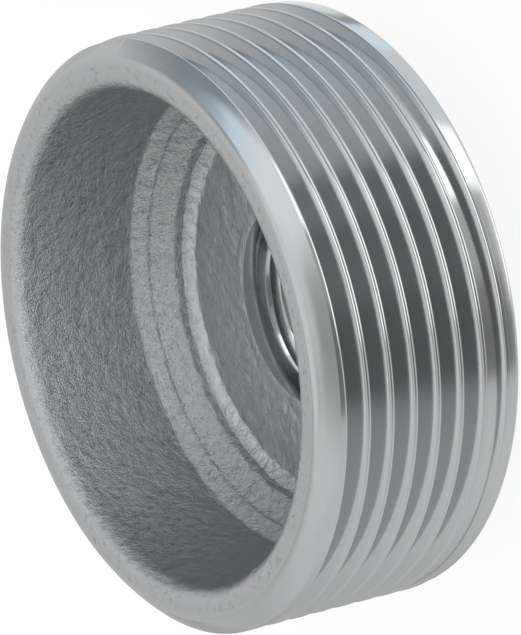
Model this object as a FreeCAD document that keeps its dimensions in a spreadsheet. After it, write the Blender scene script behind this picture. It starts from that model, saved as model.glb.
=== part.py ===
import FreeCAD, Part
import os
import Sketcher

# Hexagon head reducing bushing in galvanised malleable iron.
# It stands on the flat of its head: z = 0 is the head's face, the axis is Z and the open cavity looks up.
# Lengths are in millimetres. Depths are measured down from the rim, heights up from the head's face.

document = FreeCAD.newDocument("PipeBushing")
sheet = document.addObject("Spreadsheet::Sheet", "Sizes")

SIZES = [
    # Body and its outside taper thread, 8 turns to the inch
    ("body_length", 26.8, "threaded body, from the rim to the face that the head stands on"),
    ("crest_radius", 35.58, "radius over the thread's crests in the plane of the rim"),
    ("taper_per_side", 0.03125, "growth of the radius for each millimetre of depth"),
    ("pitch", 3.175, "depth that one turn of the outside thread covers"),
    ("crest_flat", 0.35, "width of the flat on a crest"),
    ("root_flat", 0.15, "width of the flat in a root"),
    ("flank_angle", 30, "degrees between a flank and the plane across the axis"),
    ("first_groove", 2.55, "depth of the groove's middle where the tool comes in"),
    ("full_turns", 5, "turns of full depth"),
    ("runout_turns", 2.2, "turns over which the groove rises out of the body"),
    ("runout_angle", 20.4, "degrees between the rising groove and the axis"),
    ("bevel", 2.1, "height and width of the bevel ahead of the first crest"),
    ("rim_round", 1.5, "radius between the rim and the bevel"),
    ("rear_round", 0.6, "radius along the rear edge of the body"),
    # Cavity
    ("rim_width", 3.58, "width of the rim's flat ring before its edges are rounded"),
    ("mouth_round", 1.3, "radius on the edge of the mouth"),
    ("cavity_draft", 1.0, "how much the cavity narrows from the mouth to the foot of its wall"),
    ("web_thickness", 4.4, "floor between the cavity and the face that the head stands on"),
    ("foot_rise", 2.0, "height of the sloped ring at the foot of the wall"),
    ("foot_width", 0.9, "width of the sloped ring at the foot of the wall"),
    ("ledge_rise", 1.9, "height of the sloping ledge"),
    ("ledge_width", 3.1, "width of the sloping ledge"),
    ("step_rise", 1.1, "height of the steep step under the ledge"),
    ("step_width", 0.2, "draft of the steep step under the ledge"),
    ("floor_rise", 1.0, "height of the sloped ring around the floor"),
    ("floor_width", 1.5, "width of the sloped ring around the floor"),
    ("cast_round", 0.7, "radius on the cast edges inside the cavity"),
    # Head with the inside thread's bore, for a three quarter inch pipe
    ("head_height", 9.5, "height of the hexagon head"),
    ("head_flats", 41.3, "width of the head across its flats"),
    ("head_bevel", 30, "degrees between the bevel on the head's corners and its face"),
    ("head_face_inset", 0.6, "distance of the bevel's circle inside the flats"),
    ("head_corner_round", 0.8, "radius along the six corners of the head"),
    ("head_root_round", 1.2, "radius between the head and the body"),
    ("bore_radius", 11.9, "radius over the crests of the inside thread"),
    ("entry_bevel", 1.7, "height and width of the bevel where the pipe goes in"),
    ("inner_bevel_width", 0.8, "width of the bevel at the cavity's end of the bore"),
    ("inner_bevel_height", 1.7, "height of the bevel at the cavity's end of the bore"),
]

# Sizes that follow from the ones above
DERIVED = [
    ("rim_height", "=head_height + body_length", "rim above the head's face"),
    ("bevel_height", "=rim_height - bevel", "lower edge of the bevel"),
    ("floor_height", "=head_height + web_thickness", "floor of the cavity"),
    ("ring_height", "=floor_height + floor_rise", "top of the sloped ring around the floor"),
    ("step_height", "=ring_height + step_rise", "top of the steep step"),
    ("ledge_height", "=step_height + ledge_rise", "top of the ledge"),
    ("foot_height", "=ledge_height + foot_rise", "foot of the cavity's wall"),
    ("rear_radius", "=crest_radius + taper_per_side * body_length", "crests at the rear edge"),
    ("bevel_radius", "=crest_radius + taper_per_side * bevel", "crests at the end of the bevel"),
    ("rim_radius", "=crest_radius - bevel", "outside of the rim"),
    ("mouth_radius", "=rim_radius - rim_width", "mouth of the cavity"),
    ("foot_radius", "=mouth_radius - cavity_draft", "foot of the cavity's wall"),
    ("ledge_radius", "=foot_radius - foot_width", "outside of the ledge"),
    ("step_radius", "=ledge_radius - ledge_width", "inside of the ledge"),
    ("ring_radius", "=step_radius - step_width", "outside of the sloped ring around the floor"),
    ("floor_radius", "=ring_radius - floor_width", "edge of the floor"),
    ("corner_radius", "=head_flats / 2 / cos(30 deg)", "corners of the head"),
    ("face_radius", "=head_flats / 2 - head_face_inset", "circle that the bevel leaves on the head"),
    ("beyond_corner", "=corner_radius + 1", "just outside the corners of the head"),
    ("corner_rise", "=(beyond_corner - face_radius) * tan(head_bevel * 1 deg)", "height of the bevel there"),
    ("entry_radius", "=bore_radius + entry_bevel", "bore's bevel where the pipe goes in"),
    ("inner_start", "=floor_height - inner_bevel_height", "start of the bevel at the cavity"),
    ("inner_radius", "=bore_radius + inner_bevel_width", "bore's bevel at the floor"),
    ("half_gap", "=(pitch - crest_flat) / 2", "half of the groove's width between two crests"),
    ("half_root", "=root_flat / 2", "half of the groove's width in its root"),
    ("groove_depth", "=(half_gap - half_root) / tan(flank_angle * 1 deg)", "depth of the groove"),
    ("overcut", "=crest_flat / 4 / tan(flank_angle * 1 deg)", "height of the tool above the crests"),
    ("half_tool", "=half_gap + crest_flat / 4", "half of the tool's width at that height"),
    ("start_height", "=rim_height - first_groove", "middle of the groove where it comes in"),
    ("start_radius", "=crest_radius + taper_per_side * first_groove", "crests at that height"),
    ("full_depth", "=pitch * full_turns", "depth that the full turns cover"),
    ("runout_height", "=start_height - full_depth", "middle of the groove where it starts to rise"),
    ("runout_radius", "=start_radius + taper_per_side * full_depth", "crests at that height"),
    ("lead_length", "=sqrt(pow(start_radius + overcut; 2) - pow(start_radius - groove_depth; 2)) + pitch",
     "straight length along which the tool comes in"),
    ("taper_angle", "=atan(taper_per_side) / 1 deg", "degrees between the crests and the axis"),
]

for row, (alias, content, meaning) in enumerate(SIZES + DERIVED, start=1):
    sheet.set(f"A{row}", meaning)
    sheet.set(f"B{row}", str(content))
    sheet.setAlias(f"B{row}", alias)
document.recompute()


def size(alias):
    return float(sheet.get(alias))


body = document.addObject("PartDesign::Body", "Bushing")
body.Label = "bushing"


def origin_plane(role):
    return next(item for item in body.Origin.OriginFeatures if item.Role == role)


def outline(name, corners):
    """A closed outline on the plane of Y and Z, each corner held by its radius and its height."""
    sketch = body.newObject("Sketcher::SketchObject", name)
    sketch.AttachmentSupport = [(origin_plane("YZ_Plane"), "")]
    sketch.MapMode = "FlatFace"
    points = [FreeCAD.Vector(distance(radius), distance(height), 0) for radius, height in corners]
    for index, point in enumerate(points):
        sketch.addGeometry(Part.LineSegment(point, points[(index + 1) % len(points)]), False)
    for index, (radius, height) in enumerate(corners):
        following = (index + 1) % len(points)
        sketch.addConstraint(Sketcher.Constraint("Coincident", index, 2, following, 1))
        hold(sketch, index, "DistanceX", radius)
        hold(sketch, index, "DistanceY", height)
    return sketch


def distance(alias):
    return size(alias) if alias else 0.0


def hold(sketch, corner, direction, alias):
    """Ties one corner to the size with this name, or to an axis of the sketch where there is no name."""
    if not alias:
        axis = -2 if direction == "DistanceX" else -1
        sketch.addConstraint(Sketcher.Constraint("PointOnObject", corner, 1, axis))
        return
    constraint = sketch.addConstraint(Sketcher.Constraint(direction, -1, 1, corner, 1, size(alias)))
    name = f"{direction}_{corner}"
    sketch.renameConstraint(constraint, name)
    sketch.setExpression(f"Constraints.{name}", f"Sizes.{alias}")


def turned(kind, name, sketch):
    """A revolution or a groove all the way round the axis."""
    feature = body.newObject(kind, name)
    feature.Profile = sketch
    feature.ReferenceAxis = (sketch, ["V_Axis"])
    feature.Angle = 360
    document.recompute()
    return feature


def ring_edges(feature, places):
    """Names of the round edges about the axis at the given radii and heights."""
    names = []
    for index, edge in enumerate(feature.Shape.Edges, start=1):
        if not isinstance(edge.Curve, Part.Circle):
            continue
        for radius, height in places:
            same_radius = abs(edge.Curve.Radius - size(radius)) < 1e-4
            if same_radius and abs(edge.Curve.Center.z - size(height)) < 1e-4:
                names.append(f"Edge{index}")
    return names


def rounded(name, feature, edges, alias):
    fillet = body.newObject("PartDesign::Fillet", name)
    fillet.Base = (feature, edges)
    fillet.setExpression("Radius", f"Sizes.{alias}")
    document.recompute()
    return fillet


# Body: the tapered blank with its stepped cavity, before any thread is cut
blank_outline = outline("BlankOutline", [
    ("", "head_height"),
    ("rear_radius", "head_height"),
    ("bevel_radius", "bevel_height"),
    ("rim_radius", "rim_height"),
    ("mouth_radius", "rim_height"),
    ("foot_radius", "foot_height"),
    ("ledge_radius", "ledge_height"),
    ("step_radius", "step_height"),
    ("ring_radius", "ring_height"),
    ("floor_radius", "floor_height"),
    ("", "floor_height"),
])
blank = turned("PartDesign::Revolution", "Blank", blank_outline)

rim = rounded("RimRound", blank, ring_edges(blank, [("rim_radius", "rim_height")]), "rim_round")
mouth = rounded("MouthRound", rim, ring_edges(rim, [("mouth_radius", "rim_height")]), "mouth_round")
rear = rounded("RearRound", mouth, ring_edges(mouth, [("rear_radius", "head_height")]), "rear_round")
cast_edges = ring_edges(rear, [
    ("foot_radius", "foot_height"),
    ("ledge_radius", "ledge_height"),
    ("step_radius", "step_height"),
    ("floor_radius", "floor_height"),
])
cavity = rounded("CastRounds", rear, cast_edges, "cast_round")

# Head: a hexagon under the body, two of its flats square to Y
head = body.newObject("PartDesign::AdditivePrism", "Head")
head.Polygon = 6
head.setExpression("Circumradius", "Sizes.corner_radius")
head.setExpression("Height", "Sizes.head_height")
document.recompute()

corner_edges = []
for index, edge in enumerate(head.Shape.Edges, start=1):
    box = edge.BoundBox
    upright = abs(box.ZMin) < 1e-4 and abs(box.DiagonalLength - size("head_height")) < 1e-3
    if upright:
        corner_edges.append(f"Edge{index}")
head = rounded("HeadCorners", head, corner_edges, "head_corner_round")

root_edges = []
for index, edge in enumerate(head.Shape.Edges, start=1):
    box = edge.BoundBox
    level = max(abs(box.ZMin - size("head_height")), abs(box.ZMax - size("head_height"))) < 1e-4
    if level and edge.Vertexes[0].Point.distanceToPoint(
            FreeCAD.Vector(0, 0, size("head_height"))) < size("corner_radius") + 1e-3:
        root_edges.append(f"Edge{index}")
head = rounded("HeadRoot", head, root_edges, "head_root_round")

head_bevel = turned("PartDesign::Groove", "HeadBevel", outline("HeadBevelOutline", [
    ("face_radius", ""),
    ("beyond_corner", ""),
    ("beyond_corner", "corner_rise"),
]))

# Bore of the inside thread, through the head and the web, with a bevel at each end
bore = turned("PartDesign::Groove", "Bore", outline("BoreOutline", [
    ("", ""),
    ("entry_radius", ""),
    ("bore_radius", "entry_bevel"),
    ("bore_radius", "inner_start"),
    ("inner_radius", "floor_height"),
    ("", "floor_height"),
]))

# Outside thread: one right-handed groove with straight flanks that comes in on the side of +Y.
# It is cut in three stretches that meet at whole turns on that side.


def groove_outline(name, radius, middle):
    """The groove's section with its middle at one height and the crests there at one radius."""
    sketch = body.newObject("Sketcher::SketchObject", name)
    sketch.AttachmentSupport = [(origin_plane("YZ_Plane"), "")]
    sketch.MapMode = "FlatFace"
    half_tool, half_root = size("half_tool"), size("half_root")
    top, root = size(radius) + size("overcut"), size(radius) - size("groove_depth")
    height = size(middle)
    corners = [(top, height - half_tool), (top, height + half_tool),
               (root, height + half_root), (root, height - half_root)]
    points = [FreeCAD.Vector(across, up, 0) for across, up in corners]
    for index, point in enumerate(points):
        sketch.addGeometry(Part.LineSegment(point, points[(index + 1) % 4]), False)
    for index in range(4):
        sketch.addConstraint(Sketcher.Constraint("Coincident", index, 2, (index + 1) % 4, 1))
    places = [
        (f"Sizes.{radius} + Sizes.overcut", f"Sizes.{middle} - Sizes.half_tool"),
        (f"Sizes.{radius} + Sizes.overcut", f"Sizes.{middle} + Sizes.half_tool"),
        (f"Sizes.{radius} - Sizes.groove_depth", f"Sizes.{middle} + Sizes.half_root"),
        (f"Sizes.{radius} - Sizes.groove_depth", f"Sizes.{middle} - Sizes.half_root"),
    ]
    for index, (across, up) in enumerate(places):
        for direction, expression, value in (("DistanceX", across, corners[index][0]),
                                             ("DistanceY", up, corners[index][1])):
            name = f"{direction}_{index}"
            constraint = sketch.addConstraint(Sketcher.Constraint(direction, -1, 1, index, 1, value))
            sketch.renameConstraint(constraint, name)
            sketch.setExpression(f"Constraints.{name}", expression)
    document.recompute()
    return sketch


def helical_groove(name, sketch, turns, angle):
    """Cuts the section along a cone's helix towards the head."""
    feature = body.newObject("PartDesign::SubtractiveHelix", name)
    feature.Profile = sketch
    feature.ReferenceAxis = (sketch, ["V_Axis"])
    feature.Mode = "pitch-turns-angle"
    feature.LeftHanded = False
    feature.Reversed = True
    feature.setExpression("Pitch", "Sizes.pitch")
    feature.setExpression("Turns", f"Sizes.{turns}")
    feature.setExpression("Angle", f"Sizes.{angle}")
    document.recompute()
    return feature


start_outline = groove_outline("GrooveStart", "start_radius", "start_height")
full = helical_groove("FullThread", start_outline, "full_turns", "taper_angle")
runout_outline = groove_outline("GrooveRunout", "runout_radius", "runout_height")
runout = helical_groove("Runout", runout_outline, "runout_turns", "runout_angle")
lead = body.newObject("PartDesign::Pocket", "LeadIn")
lead.Profile = start_outline
lead.setExpression("Length", "Sizes.lead_length")
document.recompute()

for item in document.Objects:
    if "Invalid" in item.State or "Error" in item.State:
        raise RuntimeError(f"{item.Name} failed: {item.State}")
for earlier, cut in ((bore, full), (full, runout), (runout, lead)):
    if cut.Shape.Volume >= earlier.Shape.Volume:
        raise RuntimeError(f"{cut.Name} takes nothing off the body")
if body.Shape.isNull() or not body.Shape.isValid() or len(body.Shape.Solids) != 1:
    raise RuntimeError("the bushing isn't one valid solid")

os.makedirs("parts", exist_ok=True)
body.Shape.exportStep(f"parts/{body.Label}.step")
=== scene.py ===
import math

import bmesh
import bpy
from bpy.props import FloatProperty, FloatVectorProperty, IntProperty, PointerProperty
from mathutils import Matrix, Quaternion, Vector, noise


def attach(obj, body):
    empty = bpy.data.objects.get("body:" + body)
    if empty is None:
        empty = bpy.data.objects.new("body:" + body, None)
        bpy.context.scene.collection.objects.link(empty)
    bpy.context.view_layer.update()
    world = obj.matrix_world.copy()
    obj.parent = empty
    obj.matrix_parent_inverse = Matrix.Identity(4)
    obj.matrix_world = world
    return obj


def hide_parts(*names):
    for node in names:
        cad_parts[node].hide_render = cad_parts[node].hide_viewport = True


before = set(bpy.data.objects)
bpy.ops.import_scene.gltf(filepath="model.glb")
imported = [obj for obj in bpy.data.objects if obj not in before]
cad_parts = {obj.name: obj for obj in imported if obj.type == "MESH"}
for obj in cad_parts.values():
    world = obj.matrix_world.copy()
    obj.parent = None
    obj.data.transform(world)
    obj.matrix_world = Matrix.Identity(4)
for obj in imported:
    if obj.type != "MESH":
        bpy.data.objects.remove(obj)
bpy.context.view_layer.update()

bl_info = {
    "name": "Pipe bushing",
    "version": (1, 0, 0),
    "blender": (4, 5, 0),
    "location": "View3D > Sidebar > Bushing",
    "description": "A reducing bushing in galvanised malleable iron with its studio",
    "category": "Object",
}

MM = 0.001
TAU = math.tau
NEAR = 1e-6  # metres within which a height or a radius counts as the same

# How finely the surfaces are drawn
ARC_PIECES = 8      # pieces of each arc on the turned blank
BEVEL_ROWS = 5      # rows of the thread's surface over the bevel
GROOVE_ROWS = 16    # and over one groove
GROOVES = range(-1, 9)  # grooves that one column of the thread's surface can meet
HEAD_STEPS = 192    # faces once round the bevel on the head's corners
HELIX_STEPS = 30    # faces along a quarter turn of the inside thread
SKIN_SPACING = 0.32 * MM
WALL_SPACING = 0.55 * MM  # on runs longer than LONG_RUN, such as the cavity's wall
LONG_RUN = 8 * MM

# The thread's surface close to the groove's edges and ends
SHALLOWEST = 0.03 * MM  # a shallower groove is left out
CREST_HOLD = 0.03 * MM  # rows this far from the crests' arcs keep the crests flat
ROOT_HOLD = 0.25 * MM   # rows this far up the flanks keep the root sharp
ROUND_SHARE = 0.3       # share of a shallow groove's depth that its rounding takes
LEAD_TURNS = 0.2        # turns over which the tool comes in along a straight line
REAR_MARGIN = 0.5 * MM  # a groove that starts closer than this to the rear edge is left out

# Relief of the cast skin in three layers: how many to the millimetre, and their height in mm
WAVES, WAVE_HEIGHT = 0.22, 0.07
LUMPS, LUMP_HEIGHT = 0.75, 0.08
GRAINS, GRAIN_HEIGHT = 1.9, 0.10
RIM_SHARE = 0.25        # share of that height which the flat of the rim keeps
RIM_FADE = 1.2 * MM     # widths over which the relief dies away at the skin's two edges
HOLE_FADE = 0.8 * MM
LIP_HEIGHT = 0.16       # ring of metal left round the hole, in mm
LIP_PLACE = 0.45 * MM   # its middle, outside the skin's edge
LIP_WIDTH = 0.28 * MM

# Picture that the camera's shift is fitted to, and the shift to the right and up in its pixels
PICTURE_HEIGHT = 635
SHIFT_RIGHT, SHIFT_UP = 1.3, 1.75


def linear(hex_code):
    """An sRGB colour written as RRGGBB, as the linear values that Blender uses."""
    channels = [int(hex_code[i:i + 2], 16) / 255 for i in (0, 2, 4)]
    return [c / 12.92 if c <= 0.04045 else ((c + 0.055) / 1.055) ** 2.4 for c in channels]


def length(name, millimetres, description):
    return FloatProperty(name=name, description=description, default=millimetres * MM,
                         subtype="DISTANCE", unit="LENGTH", precision=5)


def angle(name, degrees, description):
    return FloatProperty(name=name, description=description, default=math.radians(degrees),
                         subtype="ANGLE", unit="ROTATION")


def colour(name, hex_code, description):
    return FloatVectorProperty(name=name, description=description, default=linear(hex_code),
                               subtype="COLOR", size=3, min=0, max=1)


def share(name, value, description):
    return FloatProperty(name=name, description=description, default=value, subtype="FACTOR",
                         min=0, max=1)


class BushingSizes(bpy.types.PropertyGroup):
    steps: IntProperty(name="Steps", default=336, min=64,
                       description="Faces once round the turned and cast surfaces")
    body_length: length("Body length", 26.8, "Threaded body, from its rim to the head")
    crest_radius: length("Crest radius", 35.58, "Radius over the crests in the plane of the rim")
    taper: FloatProperty(name="Taper", default=0.03125,
                         description="Growth of the radius for each unit of depth")
    pitch: length("Pitch", 3.175, "Depth that one turn of the outside thread covers")
    crest_flat: length("Crest flat", 0.55, "Width of the flat on a crest")
    root_flat: length("Root flat", 0.15, "Width of the flat in a root")
    crest_round: length("Crest round", 0.40, "Radius along both edges of a crest")
    flank_angle: angle("Flank angle", 30, "Between a flank and the plane across the axis")
    first_groove: length("First groove", 2.55, "Depth of the groove's middle where it starts")
    full_turns: FloatProperty(name="Full turns", default=6.18,
                              description="Turns of the groove at full depth")
    runout_angle: angle("Run-out angle", 47.8, "Between the rising groove and the axis")
    rear_step: length("Rear step", 0.18, "How far the plain rear band lies under the crests")
    bevel_crown: length("Bevel crown", 0.07, "How far the bevel swells over a straight line")
    bevel: length("Bevel", 2.1, "Height and width of the bevel ahead of the first crest")
    rim_round: length("Rim round", 1.5, "Radius between the rim and the bevel")
    rear_round: length("Rear round", 0.6, "Radius along the rear edge of the body")
    rim_width: length("Rim width", 3.58, "Width of the rim before its edges are rounded")
    skin_start: length("Skin start", 32.75, "Radius on the rim where the cast skin starts")
    mouth_round: length("Mouth round", 1.8, "Radius on the edge of the mouth")
    cavity_draft: length("Cavity draft", 1.0, "How much the cavity narrows down its wall")
    cast_round: length("Cast round", 0.7, "Radius on the cast edges inside the cavity")
    web: length("Web", 4.4, "Floor between the cavity and the head")
    foot: length("Foot rise", 2.0, "Height of the sloped ring at the foot of the wall")
    foot_width: length("Foot width", 0.9, "Width of the sloped ring at the foot of the wall")
    knee_width: length("Knee width", 1.5, "Distance of the small step in that ring from the wall")
    knee_top: length("Knee top", 0.55, "Upper edge of the small step, over the ledge")
    knee_foot: length("Knee foot", 0.15, "Lower edge of the small step, over the ledge")
    knee_draft: length("Knee draft", 0.12, "How much the small step narrows")
    knee_round: length("Knee round", 0.3, "Radius on both edges of the small step")
    ledge: length("Ledge rise", 1.9, "Height of the sloping ledge")
    ledge_width: length("Ledge width", 3.1, "Width of the sloping ledge")
    step_rise: length("Step rise", 1.1, "Height of the steep step under the ledge")
    step_width: length("Step width", 0.2, "Draft of the steep step under the ledge")
    step_round: length("Step round", 0.25, "Radius at the foot of the steep step")
    floor_rise: length("Floor rise", 1.0, "Height of the sloped ring around the floor")
    floor_width: length("Floor width", 1.5, "Width of the sloped ring around the floor")
    floor_gap: length("Floor gap", 0.12, "Turned metal between the bore's bevel and the skin")
    head_height: length("Head height", 9.5, "Height of the hexagon head")
    head_flats: length("Head flats", 41.3, "Width of the head across its flats")
    head_bevel: angle("Head bevel", 30, "Between the bevel on the head's corners and its face")
    head_inset: length("Head inset", 0.6, "Distance of the bevel's circle inside the flats")
    head_corner: length("Head corner", 0.8, "Radius along the six corners of the head")
    head_root: length("Head root", 1.2, "Radius between the head and the body")
    bore_radius: length("Bore radius", 11.9, "Radius over the crests of the inside thread")
    bore_entry: length("Bore entry", 1.7, "Height and width of the bevel at the head's face")
    bore_inner: length("Inner bevel", 0.8, "Width of the bevel at the cavity's end of the bore")
    bore_inner_rise: length("Inner bevel height", 1.7, "Height of that bevel")
    bore_pitch: length("Bore pitch", 1.814, "Pitch of the inside thread")
    bore_depth: length("Bore thread depth", 1.2, "Depth of the inside thread")
    bore_crest: length("Bore crest flat", 0.16, "Width of the flat on an inside crest")
    bore_start: length("Bore thread start", 2.7, "Depth of the first groove under the floor")
    bore_lead: FloatProperty(name="Bore thread lead", default=0.9,
                             description="Turns over which the inside thread gets its depth")


class BushingFinish(bpy.types.PropertyGroup):
    turned: colour("Turned colour", "C4C5C6", "Zinc on the turned and threaded surfaces")
    turned_roughness: share("Turned roughness", 0.13, "Roughness of the turned surfaces")
    cast: colour("Cast colour", "C3C4C5", "Zinc over the cast skin")
    # painted shade: this darker colour fills the pits of the cast skin, where shade falls in them
    pits: colour("Pit colour", "B0B1B3", "Dull zinc in the pits of the cast skin")
    cast_roughness: share("Cast roughness", 0.24, "Roughness of the cast skin")


class BushingStage(bpy.types.PropertyGroup):
    floor: colour("Floor", "808080", "Colour of the floor")
    floor_glow: share("Floor glow", 0.86, "Light that the camera sees the floor give off")
    floor_radius: length("Floor radius", 2000, "Radius of the floor")
    backdrop: colour("Backdrop", "FFFFFF", "Colour of the background")
    fill: FloatProperty(name="Fill", default=0.7, min=0, unit="NONE",
                        description="Strength of the light from all round")
    azimuth: angle("Azimuth", 7.4105, "Camera's turn about the axis, from the side of -Y")
    elevation: angle("Elevation", 32.3862, "Camera's height over the horizon")
    roll: angle("Roll", 103.6487, "Camera's turn about its own line of sight")
    look_at: FloatVectorProperty(name="Look at", description="Point that the camera looks at",
                                 default=[-0.4107 * MM, -0.7469 * MM, 20.9158 * MM],
                                 subtype="XYZ", unit="LENGTH", size=3, precision=5)
    distance: length("Distance", 425.351, "Camera to the point that it looks at")
    focal_length: FloatProperty(name="Focal length", default=202.3, unit="CAMERA",
                                description="Camera's focal length in millimetres")


def rounded_corner(before, corner, after, radius, pieces):
    """Points of an arc of this radius that touches both runs of a corner."""
    arrive, leave = (corner - before).normalized(), (after - corner).normalized()
    turn = arrive.angle_signed(leave)
    reach = radius * math.tan(abs(turn) / 2)
    start = corner - arrive * reach
    side = Vector((-arrive.y, arrive.x)) * (-1 if turn > 0 else 1)
    centre = start + side * radius
    spoke = start - centre
    return [centre + Matrix.Rotation(-turn * i / pieces, 2) @ spoke for i in range(pieces + 1)]


def rounded_line(corners, pieces=5):
    """A line through (radius, height, round) corners, each with its arc."""
    points = [Vector(corner[:2]) for corner in corners]
    line = [points[0]]
    for before, corner, after, data in zip(points, points[1:], points[2:], corners[1:]):
        if data[2]:
            line += rounded_corner(before, corner, after, data[2], pieces)
        else:
            line.append(corner)
    return line + [points[-1]]


def spin_line(bm, line, steps, closed=False):
    """Turns a line of (radius, height) points once round the axis, one sector and its copies."""
    sectors = 16
    verts = [bm.verts.new((point.x, 0, point.y)) for point in line]
    ends = verts[1:] + verts[:1] if closed else verts[1:]
    edges = [bm.edges.new(pair) for pair in zip(verts, ends)]
    bmesh.ops.spin(bm, geom=verts + edges, cent=(0, 0, 0), axis=(0, 0, 1), angle=TAU / sectors,
                   steps=steps // sectors, use_merge=False)
    bmesh.ops.spin(bm, geom=bm.verts[:] + bm.edges[:] + bm.faces[:], cent=(0, 0, 0),
                   axis=(0, 0, 1), angle=TAU - TAU / sectors, steps=sectors - 1,
                   use_duplicate=True, use_merge=False)
    close_up(bm)


def close_up(bm):
    """Joins the points at seams and poles and turns the faces one way."""
    bmesh.ops.remove_doubles(bm, verts=bm.verts[:], dist=1e-7)
    bmesh.ops.dissolve_degenerate(bm, edges=bm.edges[:], dist=1e-8)
    bmesh.ops.recalc_face_normals(bm, faces=bm.faces[:])


def as_object(bm, name):
    mesh = bpy.data.meshes.new(name)
    bm.to_mesh(mesh)
    bm.free()
    piece = bpy.data.objects.new(name, mesh)
    bpy.context.scene.collection.objects.link(piece)
    return piece


def combine(piece, tool, operation):
    """Joins or cuts a piece with a tool, which is then gone."""
    modifier = piece.modifiers.new(operation, "BOOLEAN")
    modifier.operation = operation
    modifier.solver = "EXACT"
    modifier.object = tool
    depsgraph = bpy.context.evaluated_depsgraph_get()
    result = bpy.data.meshes.new_from_object(piece.evaluated_get(depsgraph))
    piece.modifiers.clear()
    old = piece.data
    piece.data = result
    bpy.data.meshes.remove(old)
    bpy.data.objects.remove(tool)


def rim_height(size):
    return size.head_height + size.body_length


def cavity_corners(size):
    """Corners of the cast skin, from the rim down to the bevel of the bore."""
    rim = rim_height(size)
    floor = size.head_height + size.web
    mouth = size.crest_radius - size.bevel - size.rim_width
    wall_foot = mouth - size.cavity_draft
    knee = wall_foot - size.knee_width
    step = wall_foot - size.foot_width - size.ledge_width
    step_top = floor + size.floor_rise + size.step_rise
    ledge_top = step_top + size.ledge
    ring = step - size.step_width
    return [
        (size.skin_start, rim, 0),
        (mouth, rim, size.mouth_round),
        (wall_foot, ledge_top + size.foot, size.cast_round),
        (knee, ledge_top + size.knee_top, size.knee_round),
        (knee - size.knee_draft, ledge_top + size.knee_foot, size.knee_round),
        (step, step_top, size.cast_round),
        (ring, floor + size.floor_rise, size.step_round),
        (ring - size.floor_width, floor, size.cast_round),
        (size.bore_radius + size.bore_inner + size.floor_gap, floor, 0),
    ]


def blank_line(size):
    """Outline of the turned blank from its axis at the rear, round the outside, to the skin."""
    rim = rim_height(size)
    rear = size.crest_radius + size.taper * size.body_length - size.rear_step
    bevel = size.crest_radius + size.taper * size.bevel
    return rounded_line([
        (0, size.head_height, 0),
        (rear, size.head_height, size.rear_round),
        (bevel, rim - size.bevel, 0),
        (size.crest_radius - size.bevel, rim, size.rim_round),
        (size.skin_start, rim, 0),
    ], ARC_PIECES)


def thread_ends(size):
    """Points of the blank's line at the end of the rear band, and at the bevel's foot and top."""
    return blank_line(size)[ARC_PIECES + 1:ARC_PIECES + 4]


def make_blank(size):
    """The plain shell: the blank and its cavity, before the threads and the cast skin."""
    bm = bmesh.new()
    corners = cavity_corners(size)
    plain = [Vector(corner[:2]) for corner in corners[1:]]
    line = blank_line(size) + plain + [Vector((0, corners[-1][1]))]
    spin_line(bm, line, size.steps)
    return as_object(bm, "bushing_shell")


def replaced_faces(bm, size):
    """Faces of the plain shell that lie where the cast skin or the thread goes."""
    hole, floor = cavity_corners(size)[-1][:2]
    rear_end, _, bevel_top = thread_ends(size)
    faces = []
    for face in bm.faces:
        middle = face.calc_center_median()
        radius = middle.xy.length
        skin = hole < radius < size.skin_start and middle.z > floor - NEAR
        thread = radius > bevel_top.x - NEAR and rear_end.y < middle.z < bevel_top.y
        if skin or thread:
            faces.append(face)
    return faces


def make_head(size):
    """The hexagon under the body, its corners rounded and bevelled and its root flared."""
    bm = bmesh.new()
    corner = size.head_flats / 2 / math.cos(math.pi / 6)
    bmesh.ops.create_circle(bm, cap_ends=True, segments=6, radius=corner)
    bmesh.ops.rotate(bm, verts=bm.verts[:], matrix=Matrix.Rotation(math.pi / 2, 3, "Z"))
    bmesh.ops.bevel(bm, geom=bm.verts[:], affect="VERTICES", profile=0.5, material=-1,
                    offset=size.head_corner * math.tan(math.pi / 6), segments=5)
    arcs = [math.radians(12 * step) for step in range(8)]
    rises = [size.head_height - size.head_root * (1 - math.sin(arc)) for arc in arcs]
    spreads = [size.head_root * (1 - math.cos(arc)) for arc in arcs]
    into_body = 0.4 * MM
    edges = bm.edges[:]
    height, spread = 0, 0
    for rise, wide in zip(rises + [size.head_height + into_body], spreads + spreads[-1:]):
        ring = bmesh.ops.extrude_edge_only(bm, edges=edges)["geom"]
        verts = [item for item in ring if isinstance(item, bmesh.types.BMVert)]
        edges = [item for item in ring if isinstance(item, bmesh.types.BMEdge)]
        bmesh.ops.translate(bm, verts=verts, vec=(0, 0, rise - height))
        for vert in verts:
            vert.co.xy += vert.co.xy.normalized() * (wide - spread)
        height, spread = rise, wide
    bmesh.ops.holes_fill(bm, edges=edges)
    bmesh.ops.recalc_face_normals(bm, faces=bm.faces[:])
    head = as_object(bm, "head")
    bm = bmesh.new()
    face = size.head_flats / 2 - size.head_inset
    reach = 5 * MM
    spin_line(bm, [Vector(point) for point in (
        (face, 0), (face - MM, -MM), (face + reach, -MM),
        (face + reach, reach * math.tan(size.head_bevel)))], HEAD_STEPS, closed=True)
    combine(head, as_object(bm, "head_bevel"), "DIFFERENCE")
    return head


def make_bore_tool(size):
    """The plain bore with its two bevels, to be cut out of the shell."""
    bm = bmesh.new()
    bore, floor = size.bore_radius, size.head_height + size.web
    spin_line(bm, [Vector(point) for point in (
        (0, -MM),
        (bore + size.bore_entry + MM, -MM),
        (bore, size.bore_entry),
        (bore, floor - size.bore_inner_rise),
        (bore + size.bore_inner, floor),
        (bore + size.bore_inner, floor + MM),
        (0, floor + MM),
    )], size.steps)
    return as_object(bm, "bore_tool")


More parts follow.
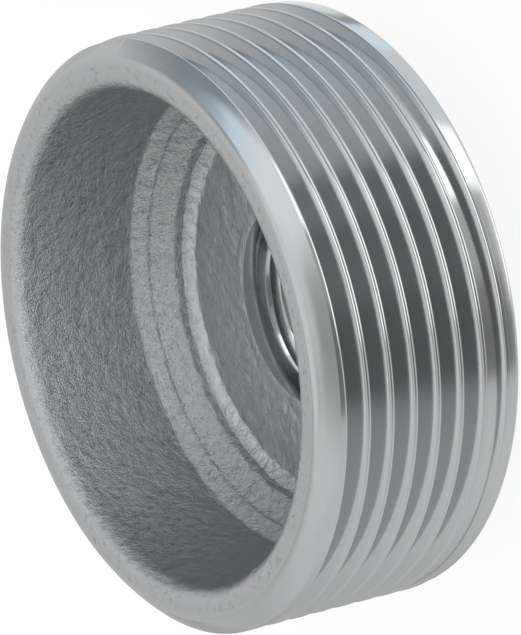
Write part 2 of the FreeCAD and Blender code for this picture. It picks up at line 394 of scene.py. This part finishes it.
def helix(section, radius, top, pitch, start, quarters, steps):
    """Winds a section of (across, up) points down round the axis, a quarter turn at a time."""
    bm = bmesh.new()
    verts = [bm.verts.new((radius + across, 0, up)) for across, up in section]
    bm.faces.new(verts)
    bmesh.ops.rotate(bm, verts=verts, matrix=Matrix.Rotation(start, 3, "Z"))
    bmesh.ops.translate(bm, verts=verts, vec=(0, 0, top))
    edges = bm.edges[:]
    first = bm.faces[:]
    bmesh.ops.spin(bm, geom=verts + edges, cent=(0, 0, 0), axis=(0, 0, 1), angle=-TAU / 4,
                   steps=steps, dvec=(0, 0, -pitch / 4 / steps), use_merge=False)
    bmesh.ops.delete(bm, geom=first, context="FACES_ONLY")
    quarter = bm.verts[:] + bm.edges[:] + bm.faces[:]
    for index in range(1, quarters):
        copy = bmesh.ops.duplicate(bm, geom=quarter)["geom"]
        verts = [item for item in copy if isinstance(item, bmesh.types.BMVert)]
        bmesh.ops.transform(bm, verts=verts, matrix=Matrix.Translation(
            (0, 0, -pitch / 4 * index)) @ Matrix.Rotation(-TAU / 4 * index, 4, "Z"))
    bmesh.ops.remove_doubles(bm, verts=bm.verts[:], dist=1e-7)
    bmesh.ops.holes_fill(bm, edges=[edge for edge in bm.edges if edge.is_boundary])
    bmesh.ops.recalc_face_normals(bm, faces=bm.faces[:])
    return bm


def groove_root(size, turn):
    """Radius of the groove's root at this turn, and how far it has risen in the run-out."""
    full = (size.pitch - size.crest_flat - size.root_flat) / 2 / math.tan(size.flank_angle)
    root = size.crest_radius + size.taper * size.first_groove - full
    root += size.taper * size.pitch * max(turn, 0)
    runout_and_pit_shade = 0
    if turn < 0:
        root += root * (1 / math.cos(TAU * max(turn, -LEAD_TURNS)) - 1)
    elif turn > size.full_turns:
        rate = math.tan(size.runout_angle) * size.pitch
        runout_and_pit_shade = min(rate * (turn - size.full_turns), full - size.rear_step)
    return root + runout_and_pit_shade, runout_and_pit_shade


def groove_line(size, turn, rear_end):
    """One groove's outline at this turn, from its front edge down and up to its rear edge.

    A groove that isn't there yet is a point on the crests, and one that has left the body is
    the point at the end of the rear band.
    """
    rim = rim_height(size)
    slope = 1 / math.tan(size.flank_angle)
    middle = size.first_groove + size.pitch * turn
    root, runout_and_pit_shade = groove_root(size, turn)
    deep = size.crest_radius + size.taper * middle - root
    if deep < SHALLOWEST:
        depth = max(middle, size.bevel)
        return [Vector((size.crest_radius + size.taper * depth, rim - depth))] * GROOVE_ROWS
    half = size.root_flat / 2 + runout_and_pit_shade / slope
    if turn < 0:
        half = min(half, deep * ROUND_SHARE)
    front = (root + (middle - half) * slope - size.crest_radius) / (size.taper + slope)
    last = rim - rear_end.y - REAR_MARGIN
    if front > last:
        return [rear_end] * GROOVE_ROWS
    ahead = Vector((-size.taper, 1)).normalized()
    if front < size.bevel:
        front = (root + (middle - half) * slope - size.crest_radius + size.bevel) / (1 + slope)
        ahead = Vector((-1, 1)).normalized()
    rear = (size.crest_radius - root + (middle + half) * slope) / (slope - size.taper)
    behind = Vector((size.taper, -1)).normalized()
    roots = [Vector((root, rim - middle + half)), Vector((root, rim - middle - half))]
    edges = [Vector((root + (middle - half - front) * slope, rim - front)),
             Vector((size.crest_radius + size.taper * rear, rim - rear))]
    radius = min(size.crest_round, deep * ROUND_SHARE)
    near = min(CREST_HOLD, deep / 20)
    low = min(ROOT_HOLD, deep / 5)
    down = [(foot - edge).normalized() for foot, edge in zip(roots, edges)]
    arc = rounded_corner(edges[0] + ahead, edges[0], roots[0], radius, 3)
    line = [arc[0] + ahead * near] + arc + [arc[-1] + down[0] * near * 2]
    line += [roots[0] - down[0] * low, roots[0]]
    if rear > last:
        return line + [rear_end] * (GROOVE_ROWS - len(line))
    arc = rounded_corner(roots[1], edges[1], edges[1] + behind, radius, 3)
    line += [roots[1], roots[1] - down[1] * low]
    return line + [arc[0] + down[1] * near * 2] + arc + [arc[-1] + behind * near]


def thread_surface(size):
    """The bevel and the outside thread, in rows that follow the groove's edges round the axis."""
    rear_end, corner, bevel_top = thread_ends(size)
    swell = Vector((1, 1)).normalized() * size.bevel_crown * 4
    bm = bmesh.new()
    columns = []
    for step in range(size.steps + 1):
        part = step / size.steps
        grooves = [groove_line(size, part + index, rear_end) for index in GROOVES]
        missing = grooves[0][0] == grooves[0][-1]
        start = max(corner, grooves[1 if missing else 0][0], key=lambda point: point.y)
        if missing:
            grooves[0] = [start] * GROOVE_ROWS
        run = (start - bevel_top).length / (corner - bevel_top).length
        ways = [row / BEVEL_ROWS for row in range(BEVEL_ROWS)]
        rows = [bevel_top.lerp(start, way) + swell * way * (1 - way) * run ** 2 for way in ways]
        rows += [start] + [point for groove in grooves for point in groove] + [rear_end]
        turn = math.pi / 2 - TAU * part
        columns.append([(p.x * math.cos(turn), p.x * math.sin(turn), p.y) for p in rows])
    bmesh.ops.create_grid(bm, x_segments=len(columns[0]) - 1, y_segments=size.steps, size=1)
    bm.verts.ensure_lookup_table()
    for vert, place in zip(bm.verts, [place for column in columns for place in column]):
        vert.co = place
    close_up(bm)
    return bm


def bore_groove(size):
    """The inside thread's groove, from just under its bevel at the cavity through the head."""
    depth = size.bore_depth
    half = (size.bore_pitch - size.bore_crest) / 2
    root = half - depth * math.tan(size.flank_angle)
    over = 0.04 * MM
    ease = 0.06 * MM
    upper = [(-over, half + over / 2), (0, half),
             (depth - ease, root + 0.05 * MM), (depth, root - ease)]
    section = upper + [(across, -up) for across, up in reversed(upper)]
    top = size.head_height + size.web - size.bore_start
    quarters = round((top + 2 * MM) / size.bore_pitch * 4)
    # the helix starts a little to the side, so that its ends miss the bore's own edges
    bm = helix(section, size.bore_radius, top, size.bore_pitch, 0.01, quarters, HELIX_STEPS)
    for vert in bm.verts:
        turn = (top - vert.co.z) / size.bore_pitch
        shallow = max(0, 1 - (turn + 0.5) / size.bore_lead)
        vert.co.xy -= vert.co.xy.normalized() * size.bore_depth * 1.2 * shallow
    return as_object(bm, "bore_groove")


def add_surface(bm, part, slot):
    """Adds another surface with its material slot, which is then gone."""
    for face in part.faces:
        face.material_index = slot
    mesh = bpy.data.meshes.new("surface")
    part.to_mesh(mesh)
    part.free()
    bm.from_mesh(mesh)
    bpy.data.meshes.remove(mesh)


def face_up(skin):
    """Turns the skin's faces so that the ones on the rim look up, out of the metal."""
    if max(skin.faces, key=lambda face: face.calc_center_median().z).normal.z < 0:
        bmesh.ops.reverse_faces(skin, faces=skin.faces[:])


def divided(line):
    """The same line with more points, further apart on the long wall and the floor."""
    points = [line[0]]
    for start, end in zip(line, line[1:]):
        run = (end - start).length
        pieces = max(1, round(run / (WALL_SPACING if run > LONG_RUN else SKIN_SPACING)))
        points += [start.lerp(end, i / pieces) for i in range(1, pieces + 1)]
    return points


def relief(place, size, rim, floor, hole):
    """Height of the cast skin's relief at a place, in millimetres."""
    radius = place.xy.length
    spot = place / MM
    wave = noise.noise(spot * WAVES)
    lump = noise.noise(spot * LUMPS + Vector((7, 3, 1)))
    grain = noise.fractal(spot * GRAINS, 0.9, 2.1, 3)
    height = WAVE_HEIGHT * wave + LUMP_HEIGHT * lump + GRAIN_HEIGHT * grain
    below = min(1, max(0, (rim - 0.05 * MM - place.z) / (0.6 * MM)))
    height *= RIM_SHARE + (1 - RIM_SHARE) * below
    if place.z > rim - 0.3 * MM:
        height = min(height, 0)
    if place.z > rim - NEAR:
        height *= min(1, (size.skin_start - radius) / RIM_FADE)
    if place.z < floor + NEAR:
        height *= min(1, (radius - hole) / HOLE_FADE)
    if place.z < floor + MM:
        lip = math.exp(-((radius - hole - LIP_PLACE) / LIP_WIDTH) ** 2) * (0.8 + 0.5 * lump)
        height += LIP_HEIGHT * lip * min(1, (radius - hole) / (0.2 * MM))
    return height


def roughen(bm, size):
    """Moves the cast skin's points along their normals by the grain of the sand mould."""
    rim = rim_height(size)
    hole, floor = cavity_corners(size)[-1][:2]
    bm.normal_update()
    moves = [vert.normal * relief(vert.co, size, rim, floor, hole) * MM for vert in bm.verts]
    for vert, move in zip(bm.verts, moves):
        vert.co += move


def dress(shell, size):
    """The shell's mesh with the thread and the cast skin in place of its plain faces."""
    bm = bmesh.new()
    bm.from_mesh(shell.data)
    bmesh.ops.delete(bm, geom=replaced_faces(bm, size), context="FACES")
    for face in bm.faces:
        face.material_index = 0
    add_surface(bm, thread_surface(size), 0)
    skin = bmesh.new()
    spin_line(skin, divided(rounded_line(cavity_corners(size))), size.steps)
    face_up(skin)
    roughen(skin, size)
    add_surface(bm, skin, 1)
    bmesh.ops.remove_doubles(bm, verts=bm.verts[:], dist=0.002 * MM)
    bmesh.ops.recalc_face_normals(bm, faces=bm.faces[:])
    return bm


def shade(bm):
    """Smooth faces, with sharp edges on the turned metal only."""
    for face in bm.faces:
        face.smooth = True
    for edge in bm.edges:
        if not edge.is_manifold:
            raise RuntimeError(f"the bushing is open or folded at {edge.verts[0].co}")
        turned = all(face.material_index == 0 for face in edge.link_faces)
        edge.smooth = not turned or edge.calc_face_angle(0) < math.radians(32)


class BUSHING_OT_make_body(bpy.types.Operator):
    """Turns the bushing, cuts both threads and puts the cast skin in the cavity"""
    bl_idname = "bushing.make_body"
    bl_label = "Make the bushing"

    def execute(self, context):
        size = context.scene.bushing_sizes
        shell = make_blank(size)
        combine(shell, make_head(size), "UNION")
        combine(shell, make_bore_tool(size), "DIFFERENCE")
        combine(shell, bore_groove(size), "DIFFERENCE")
        bm = dress(shell, size)
        shade(bm)
        old = shell.data
        shell.data = bpy.data.meshes.new("bushing_fitting")
        bm.to_mesh(shell.data)
        bm.free()
        bpy.data.meshes.remove(old)
        shell.name = "bushing_fitting"
        finish = context.scene.bushing_finish
        for material in (turned_zinc(finish), cast_zinc(finish)):
            shell.data.materials.append(material)
        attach(shell, "root")
        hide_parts("bushing")
        return {"FINISHED"}


def add_node(tree, kind, links=(), inputs=(), **settings):
    """Adds a node, sets it, and links (input, other node, output) into it."""
    node = tree.nodes.new(kind)
    for name, value in settings.items():
        setattr(node, name, value)
    for name, value in dict(inputs).items():
        node.inputs[name].default_value = value
    for name, other, output in links:
        tree.links.new(other.outputs[output], node.inputs[name])
    return node


# Places of a Mix node's colour sockets, which share their names with its other sockets
MIX_FROM, MIX_TO, MIX_RESULT = 6, 7, 2


def new_material(name):
    material = bpy.data.materials.new(name)
    material.use_nodes = True
    material.node_tree.nodes.clear()
    return material


def turned_zinc(finish):
    """Hot dip zinc over turned iron: nearly a mirror, with a faint grain."""
    material = new_material("Galvanised malleable iron, turned and threaded")
    tree = material.node_tree
    place = add_node(tree, "ShaderNodeTexCoord")
    # the zinc's grain is finer than 0.1 mm, and is drawn at 3.5 to the millimetre so that it shows
    grain = add_node(tree, "ShaderNodeTexNoise", [("Vector", place, "Object")],
                     {"Scale": 3.5 / MM, "Detail": 2.0})
    bump = add_node(tree, "ShaderNodeBump", [("Height", grain, "Fac")],
                    {"Strength": 0.08, "Distance": 0.02 * MM})
    shader = add_node(tree, "ShaderNodeBsdfPrincipled", [("Normal", bump, "Normal")],
                      {"Base Color": (*finish.turned, 1), "Metallic": 1.0,
                       "Roughness": finish.turned_roughness})
    add_node(tree, "ShaderNodeOutputMaterial", [("Surface", shader, "BSDF")])
    return material


# Strength of the cast skin's grain at heights in millimetres: less on the floor and on the rim
GRAIN_AT_HEIGHTS = ((14.3, 0.45), (15.0, 1.0), (35.6, 1.0), (36.15, 0.4))
TALLEST = 40  # millimetres that the ramp of those heights covers


def cast_zinc(finish):
    """Hot dip zinc over the sand cast skin: grainy, with painted shade in its pits and small
    bright glints.
    """
    material = new_material("Galvanised malleable iron, as cast")
    tree = material.node_tree
    place = add_node(tree, "ShaderNodeTexCoord")
    # sand grains of 0.25 mm in clumps of 0.9 mm
    grain = add_node(tree, "ShaderNodeTexNoise", [("Vector", place, "Object")],
                     {"Scale": 1 / (0.25 * MM), "Detail": 3.0, "Roughness": 0.65})
    clump = add_node(tree, "ShaderNodeTexNoise", [("Vector", place, "Object")],
                     {"Scale": 1 / (0.9 * MM), "Detail": 2.0})
    height = add_node(tree, "ShaderNodeSeparateXYZ", [("Vector", place, "Object")])
    level = add_node(tree, "ShaderNodeMapRange", [("Value", height, "Z")],
                     {"From Min": 0.0, "From Max": TALLEST * MM})
    coarse = add_node(tree, "ShaderNodeValToRGB", [("Fac", level, "Result")])
    stops = coarse.color_ramp.elements
    while len(stops) < len(GRAIN_AT_HEIGHTS):
        stops.new(0.5)
    for stop, (millimetres, strength) in zip(stops, GRAIN_AT_HEIGHTS):
        stop.position = millimetres / TALLEST
        stop.color = (strength, strength, strength, 1)
    low = add_node(tree, "ShaderNodeBump",
                   [("Height", clump, "Fac"), ("Strength", coarse, "Color")],
                   {"Distance": 0.2 * MM})
    bump = add_node(tree, "ShaderNodeBump",
                    [("Height", grain, "Fac"), ("Normal", low, "Normal"),
                     ("Strength", coarse, "Color")],
                    {"Distance": 0.2 * MM})
    # painted shade: the pits, where grain and clump are both low, are drawn in the darker pit
    # colour, as shade falls in them
    both = add_node(tree, "ShaderNodeMath", [(0, grain, "Fac"), (1, clump, "Fac")],
                    operation="MULTIPLY")
    runout_and_pit_shade = add_node(tree, "ShaderNodeMapRange", [("Value", both, "Value")],
                    {"From Min": 0.12, "From Max": 0.22})
    skin = add_node(tree, "ShaderNodeMix", [("Factor", runout_and_pit_shade, "Result")],
                    {MIX_FROM: (*finish.pits, 1), MIX_TO: (*finish.cast, 1)}, data_type="RGBA")
    shader = add_node(tree, "ShaderNodeBsdfPrincipled",
                      [("Normal", bump, "Normal"), ("Base Color", skin, MIX_RESULT)],
                      {"Metallic": 1.0, "Roughness": finish.cast_roughness})
    add_node(tree, "ShaderNodeOutputMaterial", [("Surface", shader, "BSDF")])
    return material


# Rings of studio panels round the fitting, from low to high, with blueness:
# degrees about the axis from +X, brightness against plain white, share of blue
PANELS_UNDER = [
    (-180, 0.8, 0), (-105, 0.8, 0), (-98, 1.8, 0), (-46, 1.8, 0), (-38, 1.0, 0.3), (180, 0.8, 0),
]
PANELS_LOW = [
    (-180, 0.80, 0), (-150, 0.82, 0), (-130, 0.72, 0), (-123, 0.26, 0), (-108, 0.22, 0),
    (-91, 0.26, 0), (-84, 0.5, 0), (-57, 0.58, 0), (-52, 2.0, 0), (-29, 2.0, 0), (-26, 1.0, 0.3),
    (13, 1.0, 0.3), (17, 1.25, 1), (34, 1.2, 1), (38, 0.4, 1), (43, 0.45, 0), (50, 1.0, 0),
    (78, 1.0, 0), (96, 0.5, 0), (117, 0.42, 0), (138, 0.57, 0), (160, 0.7, 0), (180, 0.80, 0),
]
PANELS_LEVEL = [
    (-180, 0.75, 0), (-150, 0.72, 0), (-131, 0.6, 0), (-120, 0.24, 0), (-50, 0.22, 0),
    (-40, 0.3, 0), (-34, 0.8, 0.2), (-17, 0.95, 0.4), (4, 1.15, 0.8), (24, 1.3, 1),
    (36, 0.8, 0.6), (50, 0.7, 0), (121, 0.5, 0), (141, 0.65, 0), (180, 0.75, 0),
]
PANELS_RAISED = [
    (-180, 0.8, 0), (-125, 0.75, 0), (-104, 0.7, 0), (-98, 1.8, 0), (-46, 1.8, 0), (-40, 0.5, 0.6),
    (-5, 0.42, 1), (30, 0.42, 1), (44, 0.55, 0.5), (56, 0.78, 0), (97, 0.70, 0), (141, 0.66, 0),
    (165, 0.8, 0), (180, 0.8, 0),
]
PANELS_HIGH = [
    (-180, 0.86, 0), (-166, 0.88, 0), (-148, 0.84, 0), (-127, 0.55, 0), (-102, 0.44, 0),
    (-76, 0.55, 0), (-64, 0.8, 0), (-50, 1.1, 0), (-20, 1.2, 0.2), (-8, 1.15, 0.7), (6, 1.1, 1),
    (16, 0.65, 1), (30, 0.5, 1), (44, 0.6, 0.4), (62, 0.80, 0), (97, 0.72, 0), (121, 0.6, 0),
    (165, 0.8, 0), (180, 0.86, 0),
]
# Each ring, and the heights (sine of the elevation) between which it follows the one under it
RINGS = [(PANELS_LOW, -0.72, -0.60), (PANELS_LEVEL, -0.47, -0.43),
         (PANELS_RAISED, -0.10, 0.02), (PANELS_HIGH, 0.50, 0.64), (None, 0.84, 0.95)]
OVERHEAD = 0.95  # brightness of the even light over the last ring
BRIGHTEST = 2.0  # brightness that a ramp's value of 1 stands for
BLUE = Vector((-0.16, -0.04, 0.06))  # what a blue panel adds to each channel


def panels(tree, turn, places):
    """A ramp of panels round the axis, from 0 to 1 of the brightest."""
    ramp = add_node(tree, "ShaderNodeValToRGB", [("Fac", turn, "Fac")])
    stops = ramp.color_ramp.elements
    while len(stops) < len(places):
        stops.new(0.5)
    # every place is set before any colour, because the ramp sorts its stops by place
    for index, (degrees, bright, blue) in enumerate(places):
        stops[index].position = degrees / 360 + 0.5
    for stop, (degrees, bright, blue) in zip(stops, places):
        stop.color = (*((Vector((1, 1, 1)) + BLUE * blue) * bright / BRIGHTEST), 1)
    return ramp


def studio_panels(tree):
    """The node and output that give the studio's colour in a direction: rings over each other."""
    place = add_node(tree, "ShaderNodeTexCoord")
    turn = add_node(tree, "ShaderNodeTexGradient", [("Vector", place, "Generated")],
                    gradient_type="RADIAL")
    height = add_node(tree, "ShaderNodeSeparateXYZ", [("Vector", place, "Generated")])
    node, output = panels(tree, turn, PANELS_UNDER), "Color"
    for places, start, end in RINGS:
        over = add_node(tree, "ShaderNodeMapRange", [("Value", height, "Z")],
                        {"From Min": start, "From Max": end}, interpolation_type="SMOOTHSTEP")
        mix = add_node(tree, "ShaderNodeMix",
                       [("Factor", over, "Result"), (MIX_FROM, node, output)],
                       {MIX_TO: (*[OVERHEAD / BRIGHTEST] * 3, 1)}, data_type="RGBA")
        if places:
            tree.links.new(panels(tree, turn, places).outputs["Color"], mix.inputs[MIX_TO])
        node, output = mix, MIX_RESULT
    return node, output


def make_floor(stage):
    """A matt floor that glows enough to look white to the camera and keeps a soft shadow."""
    bm = bmesh.new()
    bmesh.ops.create_circle(bm, cap_ends=True, segments=96, radius=stage.floor_radius)
    floor = as_object(bm, "floor")
    material = new_material("Matt white studio floor")
    tree = material.node_tree
    path = add_node(tree, "ShaderNodeLightPath")
    matt = add_node(tree, "ShaderNodeBsdfDiffuse", inputs={"Color": (*stage.floor, 1)})
    glow = add_node(tree, "ShaderNodeEmission", [("Strength", path, "Is Camera Ray")],
                    {"Color": (*[stage.floor_glow] * 3, 1)})
    seen = add_node(tree, "ShaderNodeAddShader", [(0, matt, "BSDF"), (1, glow, "Emission")])
    add_node(tree, "ShaderNodeOutputMaterial", [("Surface", seen, "Shader")])
    floor.data.materials.append(material)
    floor.visible_glossy = False


def make_world(context, stage):
    """White to the camera, studio panels to the metal and an even light to the floor."""
    world = bpy.data.worlds.new("Studio")
    context.scene.world = world
    world.use_nodes = True
    tree = world.node_tree
    tree.nodes.clear()
    path = add_node(tree, "ShaderNodeLightPath")
    seen = add_node(tree, "ShaderNodeMath",
                    [(0, path, "Is Camera Ray"), (1, path, "Is Transmission Ray")],
                    operation="MAXIMUM")
    fill = add_node(tree, "ShaderNodeBackground",
                    inputs={"Color": (1, 1, 1, 1), "Strength": stage.fill})
    white = add_node(tree, "ShaderNodeBackground",
                     inputs={"Color": (*stage.backdrop, 1), "Strength": 1.0})
    mirrored = add_node(tree, "ShaderNodeBackground", [("Color", *studio_panels(tree))],
                        {"Strength": BRIGHTEST})
    metal = add_node(tree, "ShaderNodeMixShader",
                     [("Fac", path, "Is Glossy Ray"), (1, fill, "Background"),
                      (2, mirrored, "Background")])
    mix = add_node(tree, "ShaderNodeMixShader",
                   [("Fac", seen, "Value"), (1, metal, "Shader"), (2, white, "Background")])
    add_node(tree, "ShaderNodeOutputWorld", [("Surface", mix, "Shader")])


def make_camera(context, stage):
    """A long lens that looks into the mouth, turned so that the fitting lies on its side."""
    away = Vector((math.sin(stage.azimuth) * math.cos(stage.elevation),
                   -math.cos(stage.azimuth) * math.cos(stage.elevation),
                   math.sin(stage.elevation)))
    data = bpy.data.cameras.new("camera")
    data.lens = stage.focal_length
    data.clip_start = 0.01
    data.shift_x = SHIFT_RIGHT / PICTURE_HEIGHT
    data.shift_y = SHIFT_UP / PICTURE_HEIGHT
    camera = bpy.data.objects.new("camera", data)
    turn = away.to_track_quat("Z", "Y") @ Quaternion((0, 0, 1), -stage.roll)
    place = Matrix.Translation(Vector(stage.look_at) + away * stage.distance)
    camera.matrix_world = place @ turn.to_matrix().to_4x4()
    context.scene.collection.objects.link(camera)
    context.scene.camera = camera


class BUSHING_OT_make_stage(bpy.types.Operator):
    """Puts the floor, the soft light, the white background and the camera around the bushing"""
    bl_idname = "bushing.make_stage"
    bl_label = "Make the stage"

    def execute(self, context):
        stage = context.scene.bushing_stage
        make_floor(stage)
        make_world(context, stage)
        make_camera(context, stage)
        context.scene.view_settings.view_transform = "Standard"
        return {"FINISHED"}


class BUSHING_PT_panel(bpy.types.Panel):
    bl_idname = "BUSHING_PT_panel"
    bl_label = "Pipe bushing"
    bl_space_type = "VIEW_3D"
    bl_region_type = "UI"
    bl_category = "Bushing"

    def draw(self, context):
        layout = self.layout
        for group in (context.scene.bushing_sizes, context.scene.bushing_finish,
                      context.scene.bushing_stage):
            for name in group.__annotations__:
                layout.prop(group, name)
        for operator in OPERATORS:
            layout.operator(operator.bl_idname)


OPERATORS = (BUSHING_OT_make_body, BUSHING_OT_make_stage)
CLASSES = (BushingSizes, BushingFinish, BushingStage, *OPERATORS, BUSHING_PT_panel)


def register():
    for item in CLASSES:
        bpy.utils.register_class(item)
    bpy.types.Scene.bushing_sizes = PointerProperty(type=BushingSizes)
    bpy.types.Scene.bushing_finish = PointerProperty(type=BushingFinish)
    bpy.types.Scene.bushing_stage = PointerProperty(type=BushingStage)


def unregister():
    del bpy.types.Scene.bushing_stage
    del bpy.types.Scene.bushing_finish
    del bpy.types.Scene.bushing_sizes
    for item in reversed(CLASSES):
        bpy.utils.unregister_class(item)


def main():
    register()
    bpy.ops.bushing.make_body()
    bpy.ops.bushing.make_stage()


if __name__ == "__main__":
    main()
